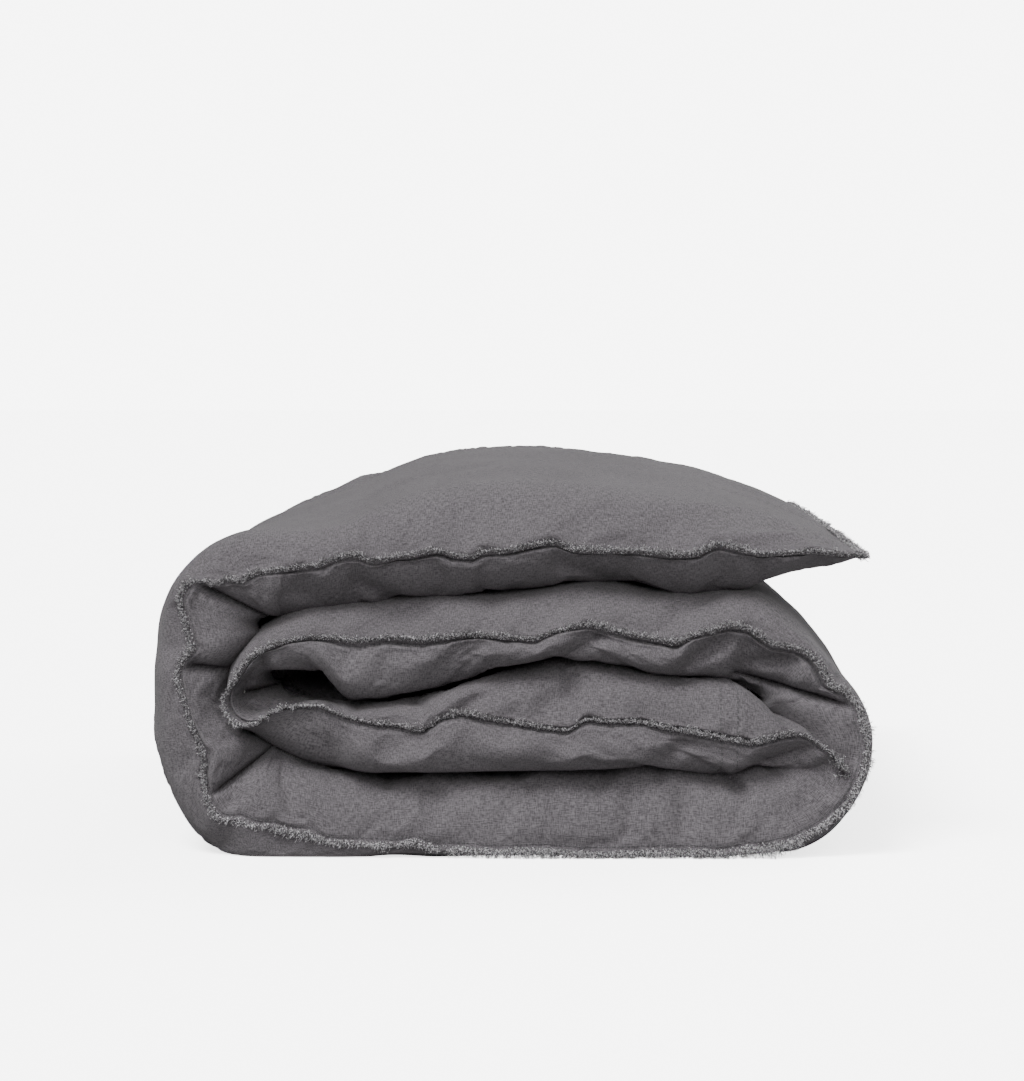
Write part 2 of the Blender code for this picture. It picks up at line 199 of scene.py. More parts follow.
def middle(s):
    """The middle of the layer at lengths s: x, z, and the outward and onward directions."""
    s = np.asarray(s, float)
    x, z, angle = np.zeros_like(s), np.zeros_like(s), np.zeros_like(s)
    at, heading = np.array([FLAP_END_X, FLAP_Z]), math.pi
    for name, size, radius in RUNS:
        d = s - STARTS[name]
        ahead = np.array([math.cos(heading), math.sin(heading)])
        if radius is None:
            turn, px, pz = heading + 0 * d, at[0] + d * ahead[0], at[1] + d * ahead[1]
            at = at + size * ahead
        else:
            centre = at + radius * np.array([-ahead[1], ahead[0]])
            turn = heading + d / radius
            px, pz = centre[0] + radius * np.sin(turn), centre[1] - radius * np.cos(turn)
            heading = heading + size / radius
            at = centre + radius * np.array([math.sin(heading), -math.cos(heading)])
        here = d >= -1e-9
        x, z, angle = np.where(here, px, x), np.where(here, pz, z), np.where(here, turn, angle)
    return x, z, np.sin(angle), -np.cos(angle), np.cos(angle), np.sin(angle)


def directions(s):
    """The outward and onward directions at lengths s, as rows."""
    _, _, ox, oz, tx, tz = middle(s)
    return np.stack([ox, 0 * ox, oz], axis=1), np.stack([tx, 0 * tx, tz], axis=1)


def lookup(s, table):
    return np.interp(s, FINE_S, table)


def smoothed(values, width):
    """values on FINE_S, smoothed over width metres."""
    step = FINE_S[1] - FINE_S[0]
    reach = int(3 * width / step)
    weights = np.exp(-0.5 * (np.arange(-reach, reach + 1) * step / width) ** 2)
    padded = np.concatenate([2 * values[0] - values[reach:0:-1], values, 2 * values[-1] - values[-2 : -reach - 2 : -1]])
    return np.convolve(padded, weights / weights.sum(), "valid")


def along_roll(rows, width):
    """Rows of (s, value) as values on FINE_S, smoothed over width."""
    at, values = zip(*rows)
    return smoothed(np.interp(FINE_S, at, values), width)


def face_heights(table, width):
    """The outer face and inner face on FINE_S."""
    rows = [(STARTS[name] + row[0] / 100 * SIZES[name], *row[1:]) for name in STARTS for row in table[name]]
    return [along_roll([(row[0], row[column] / 1000) for row in rows], width) for column in (1, 2)]


FRONT_SEAM = along_roll([(STARTS[name] + at / 1000, h / 1000) for name in STARTS for at, h in SEAM[name]], 0.0018)
FRONT_OUTER, FRONT_INNER = face_heights(FACES, 0.0035)
FRONT_OUTER = FRONT_OUTER - GAP * (FINE_S > STARTS["upper_right"])
FRONT_INNER = FRONT_INNER + GAP
DEEP_OUTER, DEEP_INNER = face_heights(DEEP, 0.010)


def noise(u, v, size, seed):
    """Smooth noise from -1 to 1 over a plane, with features of about the given size."""
    table = np.random.RandomState(seed).uniform(-1, 1, (64, 64))
    a, b = np.asarray(u) / size, np.asarray(v) / size
    i, j = np.floor(a).astype(int), np.floor(b).astype(int)
    p, q = smoothstep(a - i), smoothstep(b - j)
    corner = lambda di, dj: table[(i + di) % 64, (j + dj) % 64]
    low = corner(0, 0) * (1 - p) + corner(1, 0) * p
    high = corner(0, 1) * (1 - p) + corner(1, 1) * p
    return low * (1 - q) + high * q


# How far the flap's crown stands above an even layer, as rows of (s, height) in millimetres.
DOME = [
    (0, 0), (30, 4), (64, 6.5), (108, 16.5), (152, 25.5), (196, 30.5), (240, 32), (284, 27.7),
    (306, 22.5), (327, 11), (350, 0), (372, -5.5), (395, -9.5), (420, -9), (440, -4), (468, 0),
]
CROWN_HEIGHT = along_roll([(s / 1000, height / 1000) for s, height in DOME], 0.012)


def swell(s, y):
    """How far the flap stands above an even layer. The corner beside it slouches more towards the back."""
    height = lookup(s, CROWN_HEIGHT)
    slouch = smoothstep(y / 0.12) * (1 + 0.9 * y / SPAN)
    return np.where(height > 0, height * np.sqrt(np.sin(math.pi * np.clip(y / SPAN, 0, 1))), height * slouch)


def outer_height(s, y):
    deep = smoothstep((y - 0.06) / 0.14)
    return lookup(s, FRONT_OUTER) * (1 - deep) + lookup(s, DEEP_OUTER) * deep + swell(s, y)


def inner_height(s, y):
    deep = smoothstep((y - 0.05) / 0.10)
    return lookup(s, FRONT_INNER) * (1 - deep) + lookup(s, DEEP_INNER) * deep


END_REACH, END_SLIDE = 0.071, 0.046  # where the core's end starts to run on, and how far
HOOK_AT, HOOK_SLIDE = STARTS["inner"] + 0.0612, 0.004  # where the edge hooks back in the inner bend, and how far


def place(s, y, h):
    """Points of the cloth at length s, y behind the sewn edge and h above the middle of the layer. Near the front,
    the end of the core slides on past the layer, and the edge in the inner bend slides back."""
    x, z, ox, oz, tx, tz = middle(s)
    near_end = np.clip((s - (LENGTH - END_REACH)) / END_REACH, 0, 1) ** 1.5
    slide = END_SLIDE * near_end * (1 - smoothstep((y - 0.006) / 0.042))
    hook = np.exp(-(((s - HOOK_AT) / 0.0018) ** 2))
    slide = slide - HOOK_SLIDE * hook * (1 - smoothstep(y / 0.03))
    return np.stack([x + ox * h + tx * slide, FRONT + y + 0 * x, z + oz * h + tz * slide], axis=-1)


def along_edge(points):
    """How far along an edge its points are."""
    steps = np.linalg.norm(np.diff(points, axis=0), axis=1)
    return np.concatenate([[0], np.cumsum(steps)])


def even_columns(spacing):
    """Lengths s at which columns of the grid stand, evenly spaced along the sewn edge itself."""
    along = along_edge(place(FINE_S, np.zeros_like(FINE_S), FRONT_SEAM))
    count = int(along[-1] / spacing)
    even = np.linspace(0, along[-1], count + 1)
    return np.interp(even, along, FINE_S), even


def fullness(s, outer):
    """How upright a face starts at the front: 1 bulges forward, 0 slants straight back."""
    if outer:
        return 0.70 + 0.28 * window(s, STARTS["lower"], 0.02)
    return (
        0.75
        - 0.65 * (1 - window(s, SIZES["flap"] - 0.02, 0.04))
        - 0.50 * window(s, STARTS["lower_right"] + 0.03, 0.04, STARTS["upper"], 0.03)
        + 0.12 * window(s, STARTS["upper"], 0.03)
        + 0.11 * window(s, STARTS["lower"], 0.03)
    )


def pocket(s):
    """How far back the lining starts in the hollow of the inner bend."""
    return 0.022 * window((s - STARTS["inner"]) / SIZES["inner"], 0.40, 0.12, 0.98, 0.16)


def puff(s, outer):
    """How far a face swells forward, beyond the sewn edge."""
    if outer:
        return 0.008 * window(s, STARTS["lower"], 0.03, STARTS["lower"] + 0.20, 0.06)
    return 0.006 * window(s, STARTS["upper"] + 0.02, 0.04, STARTS["inner"], 0.02)


def outer_round(s):
    """How deep the outer panel's rounded front goes. On the floor it is the weight of the roll that shortens it."""
    low = window(s, STARTS["lower_left"] + 0.03, 0.05, STARTS["lower_right"] + 0.02, 0.05)
    return OUTER_ROUND * (1 - 0.86 * low)


def upright(s, outer):
    """How far a face stays upright before it turns in: 1 for an even round, more for a plump one."""
    if outer:
        start, end, low, high = STARTS["lower"], STARTS["lower"] + 0.24, 1.35, 2.50
    else:
        start, end, low, high = STARTS["upper"] + 0.03, LENGTH - 0.05, 1.40, 1.75
    return low + (high - low) * window(s, start, 0.03, end, 0.03)


def rounded_front(s, share, outer):
    """Depth and rise along the rounded front of a panel, at a share of its strip of cloth."""
    depth, full = (outer_round(s) if outer else INNER_ROUND), fullness(s, outer)
    y = depth * ((1 - full) * share + full * (1 - np.cos(QUARTER * share)) ** upright(s, outer))
    if not outer:
        y = y + pocket(s) * smoothstep(4 * share)
    return y - puff(s, outer) * math.sin(math.pi * min(1, 1.3 * share)), np.sin(QUARTER * share)


def lean(s):
    """Which way the frayed edge leans: 1 towards the outer face, -1 towards the inner."""
    return 0.95 - 1.75 * window(s, STARTS["inner"] + 0.62 * SIZES["inner"], 0.012)


def groove(s):
    """How deep the cloth sinks beside the frayed edge, which is least where the layer rests on the floor."""
    return GROOVE * (1 - 0.75 * window(s, STARTS["floor"], 0.03, STARTS["upper_right"], 0.03))


def cover_grid(s, cell):
    """Rows of the cover: the lining from its recessed edge, back through the middle of the layer and out to the
    front, then the sewn edge, then the outer panel over the layer, round the back and forward to the recessed edge.
    Returns the points, the rows' distance from the sewn edge, and the index of the row on the sewn edge."""
    rows, reach = [], []
    seam, inner = lookup(s, FRONT_SEAM), lookup(s, FRONT_INNER)

    def row(y, h, distance):
        rows.append((y, h))
        reach.append(distance)

    def centre(y):
        return (outer_height(s, y) + inner_height(s, y)) / 2

    # The lining's hidden return, from the recessed edge to the back and forward again.
    hidden, apart = (0.13, 0.20, 0.30, 0.40, 0.50, 0.58), 0.0012
    row(RECESS, inner_height(s, RECESS) * 0.5, HIDDEN_END)
    for y in (0.090, *hidden):
        row(y, centre(y) - apart, HIDDEN_END + (y - RECESS))
    row(SPAN - 0.040, centre(SPAN - 0.040), -0.70)
    for y in (*hidden[::-1], 0.095):
        row(y, centre(y) + apart, -y - 0.04)
    # The lining on the inner face, then out to the sewn edge.
    for y, share in ((0.078, 0.25), (0.070, 0.62), (0.060, 0.88)):
        high, low = centre(y), inner_height(s, y)
        row(y, high + (low - high) * share, -y - 0.032)
    strip = int(1.3 * LINING_STRIP / cell)
    for i in range(strip, 0, -1):
        y, rise = rounded_front(s, i / strip, False)
        row(y, seam + (inner - seam) * rise, -FLANGE - LINING_STRIP * i / strip)
    row(0.5 * groove(s), seam - 0.0008, -FLANGE)
    seam_row = len(rows)
    row(-0.3 * FLANGE, seam + 0.6 * FLANGE * lean(s), 0.0)
    row(groove(s), seam + 0.0003, FLANGE)
    # The outer panel's rounded front.
    strip = int(OUTER_STRIP / cell)
    for i in range(1, strip + 1):
        y, rise = rounded_front(s, i / strip, True)
        row(y, seam + (outer_height(s, y) - seam) * rise, FLANGE + OUTER_STRIP * i / strip)
    # Its plain middle.
    back = SPAN - BACK_ROUND
    steps = int((back - OUTER_ROUND) / (cell * 1.8))
    for i in range(1, steps + 1):
        y = OUTER_ROUND + (back - OUTER_ROUND) * i / steps
        row(y, outer_height(s, y), y + SLACK)
    # The back fold.
    steps = int(BACK_STRIP / cell / 1.4)
    for i in range(1, steps):
        angle = math.pi * i / steps
        y = back + BACK_ROUND * math.sin(angle)
        high, low = outer_height(s, y), inner_height(s, y)
        side = math.copysign(abs(math.cos(angle)) ** 0.8, math.cos(angle))
        row(y, (high + low) / 2 + (high - low) / 2 * side, back + SLACK + BACK_STRIP * i / steps)
    # The inner thickness, forward to its recessed edge.
    steps = int((back - RECESS) / (cell * 3))
    for i in range(steps + 1):
        y = back - (back - RECESS) * i / steps
        closing = math.sqrt(max(0.0, 1 - (1 - min(1, (y - RECESS) / 0.05)) ** 2))
        row(y, inner_height(s, y) * (0.50 + 0.50 * closing), back + SLACK + BACK_STRIP + (back - y))
    points = np.stack([place(s, y, h) for y, h in rows])
    return points, np.array(reach), seam_row


def grid_normals(points):
    """Unit normals of a grid of points, facing out of the cloth."""
    return unit(np.cross(np.gradient(points, axis=0), np.gradient(points, axis=1)))


# Folds that cross the front of each sheet, in millimetres: the first and last run that it is on, where it starts (x, z)
# and ends (x, z), its half width and its depth. The deep ones are where two bulges of the lining meet.
FOLDS = {
    "lining": [
        ("upper_left left", -213, 183, -160, 154, 5.5, 16), ("upper_left lower_left", -219, 127, -186, 122, 5.2, 16),
        ("left floor", -199, 42, -163, 68, 5.2, 16), ("lower_left floor", -172, 60, -194, 28, 8, 6),
        ("left lower_left", -206, 98, -190, 88, 8, 6), ("flap", -103, 180, -73, 165, 6, 10),
        ("flap", -150, 180, -128, 166, 9, 5), ("flap", 29, 193, 80, 173, 6.5, 11), ("flap", 108, 184, 110, 172, 4, 3),
        ("lower_right upper", 144, 120, 221, 99, 5.2, 18), ("upper_right upper", 152, 126, 190, 134, 6, 9),
        ("upper", -57, 118, -25, 140, 9, 8), ("upper", 26, 128, 57, 148, 6.5, 12),
        ("upper", 106, 123, 137, 144, 6.5, 11), ("upper", 147, 126, 153, 143, 6, 6),
        ("inner", -182, 105.5, -150, 109, 3.6, 22), ("inner", -166, 134, -165, 118, 5, 12),
        ("lower", -38, 97, -10, 111, 6.5, 8), ("lower", 20, 99, 55, 117, 8.5, 7), ("floor", 94, 66, 95, 54, 5, 10),
        ("floor", 139, 52, 148, 40, 5, 12), ("floor", 111, 54, 113, 14, 9, 5),
        ("floor lower_right", 158, 46, 166, 20, 10, 5), ("floor lower_right", 198, 46, 182, 26, 8, 5),
    ],
    "outer_panel": [
        ("upper", -102, 146, -64, 164, 9, 7), ("upper", -30, 150, -12, 170, 10, 3), ("upper", 103, 155, 125, 170, 8, 6),
        ("upper", 160, 150, 150, 162, 7, 4), ("lower", -93, 66, -56, 82, 10, 5), ("lower", 12, 62, 40, 80, 9, 4),
        ("lower", 98, 66, 114, 78, 6, 7), ("lower", 156, 60, 190, 72, 6.5, 13),
    ],
}


def crumple(points, even, reach):
    """Moves the points of the grid in and out along their normals: soft puffs, and puckers beside the sewn edge."""
    normal = grid_normals(points)
    u = np.broadcast_to(even[None, :], points.shape[:2])
    v = np.broadcast_to(reach[:, None], points.shape[:2])
    away = np.maximum(np.abs(v) - FLANGE, 0)
    free = smoothstep(away / 0.010) * (np.abs(v) < SPAN + 0.2) * (v > -0.1)
    amount = 0.0022 * noise(u, v, 0.075, 3) + 0.0012 * noise(u + 0.3 * v, v, 0.034, 5)
    # Puckers fan out from the seam and fade with distance.
    for sheet, seed in ((v >= 0, 11), (v < 0, 23)):
        fan = noise(u + 0.006 * noise(u, v, 0.03, seed + 1), 0 * v, 0.017, seed)
        strength = 0.5 + 0.5 * noise(u, 0 * v, 0.09, seed + 2)
        fade = window(away, 0, 0.008, 0.010, 0.040)
        amount = amount + np.where(sheet, 0.0026 * fan * strength * fade, 0)
    moved = points + normal * (amount * free)[..., None]
    moved[..., 2] = np.maximum(moved[..., 2], ON_FLOOR)
    return moved


def fold(points, s, sheet, away):
    """Presses the listed folds straight back into one sheet of the cover, and tucks the lining in under the frayed
    edge. A shallow fold is a trough, and a deep one ends in a crease."""
    free = smoothstep(away / 0.008) * (points[..., 1] < FRONT + 0.085)
    amount = np.zeros(points.shape[:2])
    for runs, *millimetres in FOLDS[sheet]:
        first, last = runs.split()[0], runs.split()[-1]
        x0, z0, x1, z1, width, depth = (value / 1000 for value in millimetres)
        start, line = np.array([x0, z0]), np.array([x1 - x0, z1 - z0])
        offset = points[..., [0, 2]] - start
        share = np.clip((offset @ line) / (line @ line), 0, 1)
        distance = np.linalg.norm(offset - share[..., None] * line, axis=-1)
        distance = distance + 1.0 * ((s < STARTS[first]) | (s > STARTS[last] + SIZES[last]))[None, :]
        taper = np.sin(math.pi * np.clip(0.12 + 0.76 * share, 0, 1)) ** 0.6
        trough, crease = np.exp(-((distance / width) ** 2)), np.exp(-distance / CREASE)
        sharp = float(smoothstep((depth - SHARP_FROM) / 0.005))
        amount += depth * taper * ((1 - 0.70 * sharp) * trough + 0.95 * sharp * crease)
    moved = points.copy()
    moved[..., 1] += amount * free
    if sheet == "lining":
        tucked = 1 - window(s, SIZES["flap"] - 0.01, 0.02, STARTS["upper_right"], 0.03)
        patchy = 0.65 + 0.35 * noise(s, 0 * s, 0.020, 61)
        moved[..., 1] += UNDERCUT * tucked * patchy * np.exp(-(((away - 0.0022) / 0.0014) ** 2))
    return moved


def smooth_mesh(name, points, faces, flat=0):
    """A mesh from an array of points and a list of faces, smoothly shaded but for the last few faces."""
    mesh = bpy.data.meshes.new(name)
    mesh.from_pydata(points.reshape(-1, 3).tolist(), [], faces)
    mesh.polygons.foreach_set("use_smooth", np.arange(len(faces)) < len(faces) - flat)
    return mesh


def grid_mesh(name, points):
    """A mesh from a grid of points."""
    rows, columns = points.shape[:2]
    index = np.arange(rows * columns).reshape(rows, columns)
    quads = np.stack([index[:-1, :-1], index[1:, :-1], index[1:, 1:], index[:-1, 1:]], axis=-1).reshape(-1, 4)
    return smooth_mesh(name, points, quads.tolist())


def tube_quads(rings, around, count=1):
    """The faces of count tubes, whose points come ring by ring."""
    tube = [
        (r * around + k, r * around + (k + 1) % around, (r + 1) * around + (k + 1) % around, (r + 1) * around + k)
        for r in range(rings - 1)
        for k in range(around)
    ]
    first = np.arange(count)[:, None, None] * rings * around
    return (np.array(tube) + first).reshape(-1, 4).tolist()


def add_object(name, data):
    obj = bpy.data.objects.new(name, data)
    bpy.context.scene.collection.objects.link(obj)
    return obj


def blurred(values, sigma):
    """A grid of values, smoothed over sigma cells each way."""
    reach = 3 * sigma
    weights = np.exp(-0.5 * (np.arange(-reach, reach + 1) / sigma) ** 2)
    weights /= weights.sum()
    for axis in (0, 1):
        values = np.moveaxis(values, axis, 0)
        padded = np.pad(values, [(reach, reach), (0, 0), (0, 0)], "edge")
        values = sum(w * padded[k : k + len(values)] for k, w in enumerate(weights))
        values = np.moveaxis(values, 0, axis)
    return values


def inflate(points, reach, seam_row):
    """Blender's cloth, under a little pressure and with cloth to spare, puts the small buckles into the grid."""
    cloth_object = add_object("cover_simulation", grid_mesh("cover_simulation", points))
    group = cloth_object.vertex_groups.new(name="held")
    behind = points[..., 1] - FRONT
    hold = smoothstep((behind - 0.30) / 0.15) * 0.2
    hold[(reach > SPAN + 0.08) | (reach < -0.068)] = 1.0  # the inner thickness and the lining's hidden return
    hold[seam_row - 1 : seam_row + 2] = hold[:, :2] = hold[:, -2:] = 1.0
    hold = np.where(points[..., 2] < 0.003, 1.0, hold).reshape(-1)
    for level in np.unique(np.round(hold, 1)):
        if level > 0:
            group.add(np.nonzero(np.round(hold, 1) == level)[0].tolist(), float(level), "REPLACE")
    modifier = cloth_object.modifiers.new("cloth", "CLOTH")
    for key, value in CLOTH.items():
        setattr(modifier.settings, key, value)
    modifier.settings.effector_weights.gravity = 0
    modifier.collision_settings.use_collision = False
    modifier.collision_settings.use_self_collision = False
    modifier.point_cache.frame_start, modifier.point_cache.frame_end = 1, 24
    for number in range(1, LAST_FRAME + 1):
        bpy.context.scene.frame_set(number)
    evaluated = cloth_object.evaluated_get(bpy.context.evaluated_depsgraph_get())
    found = np.empty(points.size)
    evaluated.to_mesh().vertices.foreach_get("co", found)
    bpy.context.scene.frame_set(1)
    bpy.data.objects.remove(cloth_object, do_unlink=True)
    move = found.reshape(points.shape) - points
    length = np.linalg.norm(move, axis=2, keepdims=True)
    move = move * np.minimum(1, MOST_MOVE / np.maximum(length, 1e-9))
    move = BUCKLES * (move - SWELLING_OUT * blurred(move, 7))
    moved = points + move
    moved[..., 2] = np.maximum(moved[..., 2], ON_FLOOR)
    return moved


# Materials


class Nodes:
    """A small helper for building a material's node tree. Inputs are named with _ for a space."""

    def __init__(self, name, **inputs):
        self.material = bpy.data.materials.new(name)
        self.material.use_nodes = True
        self.tree = self.material.node_tree
        self.shader = self.tree.nodes["Principled BSDF"]
        for key, value in inputs.items():
            self.give(self.shader.inputs[key.replace("_", " ")], value)

    def give(self, target, value):
        """Sets an input to a number or a colour, or links another node's output to it."""
        if isinstance(value, bpy.types.NodeSocket):
            self.tree.links.new(value, target)
        else:
            target.default_value = value

    def add(self, kind, **settings):
        node = self.tree.nodes.new("ShaderNode" + kind)
        for key, value in settings.items():
            if hasattr(node, key):
                setattr(node, key, value)
            else:
                self.give(node.inputs[key.replace("_", " ")], value)
        return node

    def maths(self, operation, *values):
        node = self.add("Math", operation=operation)
        for target, value in zip(node.inputs, values):
            self.give(target, value)
        return node.outputs[0]

    def ramp(self, fac, dark, light, start=0.0, end=1.0):
        """A colour that goes from dark to light as fac goes from start to end."""
        node = self.add("ValToRGB", Fac=fac)
        for element, position, colour in zip(node.color_ramp.elements, (start, end), (dark, light)):
            element.position, element.color = position, (*colour, 1)
        return node.outputs["Color"]

    def finished(self, colour, height, strength, distance):
        """The material, with its colour and its relief."""
        relief = self.add("Bump", Height=height, Strength=strength, Distance=distance)
        self.give(self.shader.inputs["Base Color"], colour)
        self.give(self.shader.inputs["Normal"], relief.outputs["Normal"])
        return self.material


def linen(name, dark, light, sheen=0.12, coordinates="Object"):
    """Washed linen: a plain weave with slubs, soft mottling and fine fuzz. The weave follows the cloth."""
    nodes = Nodes(name, Roughness=0.92, Specular_IOR_Level=0.18, Sheen_Weight=sheen, Sheen_Roughness=0.55)
    if coordinates == "UV":
        where = nodes.add("UVMap", uv_map="cloth").outputs["UV"]
    else:
        where = nodes.add("TexCoord").outputs[coordinates]
    slubs, weave = [], []
    for scale in ((240.0, 1450.0, 1.0), (1450.0, 300.0, 1.0)):
        stretched = nodes.add("Mapping", Vector=where, Scale=scale).outputs["Vector"]
        slubs.append(nodes.add("TexNoise", Vector=stretched, Scale=1.0, Detail=3.0, Roughness=0.6).outputs["Fac"])
    for direction in ("X", "Y"):
        threads = nodes.add("TexWave", bands_direction=direction, Vector=where, Scale=380.0, Distortion=1.6, Detail=2.0)
        weave.append(threads.outputs["Fac"])
    clouds = nodes.add("TexNoise", Vector=where, Scale=14.0, Detail=4.0, Roughness=0.55).outputs["Fac"]
    height = nodes.maths("MULTIPLY_ADD", clouds, 0.26, 0.33)
    height = nodes.maths("MULTIPLY_ADD", nodes.maths("ADD", *slubs), 1.30, height)
    height = nodes.maths("MULTIPLY_ADD", nodes.maths("MULTIPLY", *weave), 0.20, height)
    spread = nodes.add("MapRange", Value=height, From_Min=1.57, From_Max=2.05).outputs["Result"]
    return nodes.finished(nodes.ramp(spread, dark, light), height, strength=0.45, distance=0.0005)


def loose_thread(name, dark, light):
    """Linen threads, with a tone that changes from thread to thread."""
    nodes = Nodes(name, Roughness=0.9, Specular_IOR_Level=0.15)
    where = nodes.add("TexCoord").outputs["Object"]
    tone = nodes.add("TexNoise", Vector=where, Scale=900.0, Detail=2.0).outputs["Fac"]
    return nodes.finished(nodes.ramp(tone, dark, light, 0.44, 0.60), tone, strength=0.3, distance=0.0003)


def shell():
    """Pearly shell, for the buttons: cloudy growth bands under a hard gloss."""
    nodes = Nodes("shell_button")
    where = nodes.add("TexCoord").outputs["Object"]
    rings = nodes.add("TexWave", wave_type="RINGS", Vector=where, Scale=120.0, Distortion=7.0, Detail=3.0)
    bands = rings.outputs["Fac"]
    polish = nodes.add("MapRange", Value=bands, To_Min=0.18, To_Max=0.34).outputs["Result"]
    nodes.give(nodes.shader.inputs["Roughness"], polish)
    colour = nodes.ramp(bands, (0.40, 0.38, 0.36), (0.66, 0.63, 0.60))
    return nodes.finished(colour, bands, strength=0.10, distance=0.0002)


WASHED_GREY = (0.108, 0.099, 0.107), (0.258, 0.241, 0.256)
LINEN = linen("washed_linen", *WASHED_GREY, coordinates="UV")
# The frayed threads: their own lighter tone plus painted highlight, the near-white end standing in for light catching
# the loose fibres.
FRAYED_PAINTED_HIGHLIGHTS = loose_thread("frayed_linen_threads_painted_highlights", (0.15, 0.142, 0.15), (0.96, 0.935, 0.96))
THREAD = loose_thread("sewing_thread", (0.12, 0.118, 0.122), (0.22, 0.217, 0.222))
DOWN_PROOF = linen("down_proof_cotton", (0.66, 0.65, 0.62), (0.80, 0.79, 0.76), sheen=0.02)
FACING = linen("closure_facing_linen", *WASHED_GREY)
TAPE = linen("cotton_tape", (0.50, 0.49, 0.47), (0.74, 0.73, 0.70), sheen=0.05)
LABEL = linen("label_tape", (0.62, 0.61, 0.59), (0.80, 0.79, 0.77), sheen=0.03)
SHELL = shell()

# The small CAD nodes that stay as they are, by how their names start, and their materials.
KEPT_NODES = {"closure_facing": FACING, "button": SHELL, "corner_tie": TAPE, "care_label": LABEL}


def dress_kept_nodes():
    for name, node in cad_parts.items():
        for start, material in KEPT_NODES.items():
            if name.startswith(start):
                for slot in node.material_slots:
                    slot.material = material


# Pieces


THREADS_PER_METRE = 9500


def add_uv(mesh, uv):
    """Writes the cloth's own coordinates, in metres, as the mesh's UV map."""
    layer = mesh.uv_layers.new(name="cloth")
    loops = np.empty(len(mesh.loops), int)
    mesh.loops.foreach_get("vertex_index", loops)
    layer.data.foreach_set("uv", uv.reshape(-1, 2)[loops].reshape(-1))


def subdivided(points):
    """The grid with a point between each two, smoothly."""

    def along(values, axis):
        values = np.moveaxis(values, axis, 0)
        before = np.concatenate([2 * values[:1] - values[1:2], values[:-2]])
        after = np.concatenate([values[2:], 2 * values[-1:] - values[-2:-1]])
        between = (9 * (values[:-1] + values[1:]) - before - after) / 16
        out = np.empty((2 * len(values) - 1, *values.shape[1:]))
        out[::2], out[1::2] = values, between
        return np.moveaxis(out, 0, axis)

    return along(along(points, 0), 1)


UPPER_CORNER_START = SIZES["flap"] - 0.034  # where the two corners with the hinges start and end
LOWER_CORNER_END = STARTS["floor"] + 0.034
WALL_MIDDLE = STARTS["left"] + SIZES["left"] / 2
CHAMBER = 0.160  # spacing of the insert's quilting
CHAMBERS = {
    "flap": ["flap_1", "flap_2", "flap_3"],
    "upper_corner": ["upper_left", "left"],
    "lower_corner": ["lower_left"],
    "roll": ["floor_1", "floor_2", "lower_right", "upper_right", "upper_1", "upper_2", "inner", "lower_1", "lower_2"],
}
PARTS = {
    "flap": (0.0, UPPER_CORNER_START),
    "upper_corner": (UPPER_CORNER_START, WALL_MIDDLE),
    "lower_corner": (WALL_MIDDLE, LOWER_CORNER_END),
    "roll": (LOWER_CORNER_END, LENGTH),
}


def carry(obj, part):
    """Puts a piece of the flap on the flap's body and a piece of the roll on the base's body; a corner's piece only
    gets its transform baked in.
    """
    if part == "flap":
        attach(obj, "flap")
    elif part == "roll":
        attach(obj, "base")
    elif part == "lower_corner":
        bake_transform(obj)
    else:
        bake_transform(obj)


def add_piece(name, mesh, material, part):
    """A piece of the visual model, with its material, placed as carry places its part of the roll."""
    mesh.materials.append(material)
    obj = add_object(name, mesh)
    carry(obj, part)
    return obj


def cut(grid, s, part):
    """The columns of a grid that belong to a part of the roll."""
    first, last = np.searchsorted(s, np.array(PARTS[part]) - 1e-6)
    return grid[:, first : last + 1]


# Each sheet of the cover: the side that its grid faces, its material slot, and its row of stitches.
SHEETS = {"outer_panel": (1, "linen", 3), "lining": (-1, "lining_linen", 6)}


def build_cover():
    s, even = even_columns(CELL)
    points, reach, seam_row = cover_grid(s, CELL)
    points = crumple(points, even, reach)
    points = inflate(points, reach, seam_row)
    uv = np.stack(np.broadcast_arrays(even[None, :], reach[:, None]), axis=-1)
    columns = np.repeat(s[None, :, None], 2, axis=0)
    pieces, grids = {}, {}
    for sheet, (side, slot, _) in SHEETS.items():
        rows = slice(seam_row, None, side)
        # The lining is subdivided twice, for its sharper folds.
        grid, cloth, at = points[rows], uv[rows], columns
        for _ in range(1 if side > 0 else 2):
            grid, cloth, at = subdivided(grid), subdivided(cloth), subdivided(at)
        at = at[0, :, 0]
        grid = fold(grid, at, sheet, np.maximum(np.abs(cloth[..., 1]) - FLANGE, 0))
        grid[..., 2] = np.maximum(grid[..., 2], 0.0002)
        grids[sheet] = (grid, at)
        normal = grid_normals(grid) * side
        for part in PARTS:
            name = f"cover_{sheet}_{part}"
            mesh = grid_mesh(name, cut(grid, at, part))
            if side < 0:
                mesh.flip_normals()
            mesh.normals_split_custom_set_from_vertices(cut(normal, at, part).reshape(-1, 3))
            add_uv(mesh, cut(cloth, at, part))
            pieces[sheet, part] = add_piece(name, mesh, LINEN, part)
    return pieces, grids


